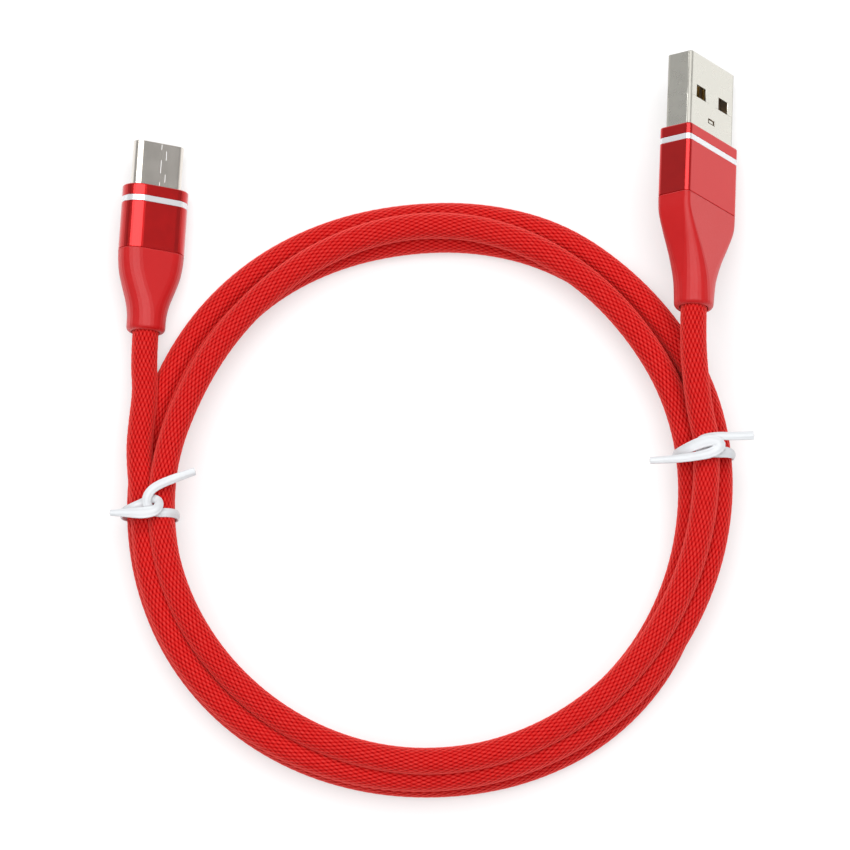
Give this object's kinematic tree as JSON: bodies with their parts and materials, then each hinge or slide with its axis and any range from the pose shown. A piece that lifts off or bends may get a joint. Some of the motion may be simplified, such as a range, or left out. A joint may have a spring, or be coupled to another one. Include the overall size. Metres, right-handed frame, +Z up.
{
  "type": "charging cable",
  "caption": "Braided charging cable, coiled and tied, with a flat rectangular host plug and a small oval device plug, for charging a phone or tablet.",
  "frame": {"origin": "bottom centre of the box round the two plugs and the two ties, on the surface that the cable lies on", "axes": "+Z is up from the surface; +Y is the way the two plugs point; +X is from the device plug to the host plug"},
  "size_m": [0.0976, 0.1144, 0.0157],
  "materials": {
    "braid": "fine woven braid, satin",
    "boot_plastic": "smooth moulded, satin",
    "sleeve_metal": "red anodised, satin",
    "trim_metal": "bright cut",
    "host_shell_metal": "nickel plated, satin",
    "device_shell_metal": "nickel plated, satin",
    "host_insulator_plastic": "moulded",
    "device_insulator_plastic": "moulded",
    "contact_plating": "gold plated",
    "spring_steel": "stamped",
    "board_laminate": "solder mask",
    "resistor_body": "glazed",
    "inner_plastic": "moulded",
    "ferrule_metal": "crimped",
    "tie_plastic": "smooth, soft sheen",
    "tie_steel": "drawn wire",
    "wire_red": "smooth",
    "wire_white": "smooth",
    "wire_green": "smooth",
    "wire_black": "smooth"
  },
  "bodies": {
    "cable": {"cord_coil": "braid", "device_board": "board_laminate", "device_boot": "boot_plastic", "device_cord_end": "braid", "device_crimp": "ferrule_metal", "device_inner_mold": "inner_plastic", "device_insulator": "device_insulator_plastic", "device_lead": "braid", "device_lower_contacts": "contact_plating", "device_lower_spring": "spring_steel", "device_mid_plate": "spring_steel", "device_resistor": "resistor_body", "device_shell": "device_shell_metal", "device_sleeve": "sleeve_metal", "device_trim_ring": "trim_metal", "device_upper_contacts": "contact_plating", "device_upper_spring": "spring_steel", "device_wire_black": "wire_black", "device_wire_green": "wire_green", "device_wire_red": "wire_red", "device_wire_white": "wire_white", "host_boot": "boot_plastic", "host_cord_end": "braid", "host_crimp": "ferrule_metal", "host_inner_mold": "inner_plastic", "host_insulator": "host_insulator_plastic", "host_lead": "braid", "host_pad_data_minus": "contact_plating", "host_pad_data_plus": "contact_plating", "host_pad_ground": "contact_plating", "host_pad_supply": "contact_plating", "host_shell": "host_shell_metal", "host_sleeve": "sleeve_metal", "host_trim_ring": "trim_metal", "host_wire_black": "wire_black", "host_wire_green": "wire_green", "host_wire_red": "wire_red", "host_wire_white": "wire_white", "left_tie_coating": "tie_plastic", "left_tie_wire": "tie_steel", "right_tie_coating": "tie_plastic", "right_tie_wire": "tie_steel"},
    "left_latch": {"device_left_latch": "spring_steel"},
    "right_latch": {"device_right_latch": "spring_steel"}
  },
  "joints": [
    {"name": "left_latch_flex", "type": "hinge", "parent": "cable", "child": "left_latch", "pos_m": [-0.04551, 0.01714, 0.00538], "axis": [0.447, -0.0266, 0.8942], "range_deg": [0, 2.6], "stiffness_Nm_per_rad": 0.2},
    {"name": "right_latch_flex", "type": "hinge", "parent": "cable", "child": "right_latch", "pos_m": [-0.03962, 0.01679, 0.00242], "axis": [-0.447, 0.0266, -0.8942], "range_deg": [0, 2.6], "stiffness_Nm_per_rad": 0.2}
  ]
}
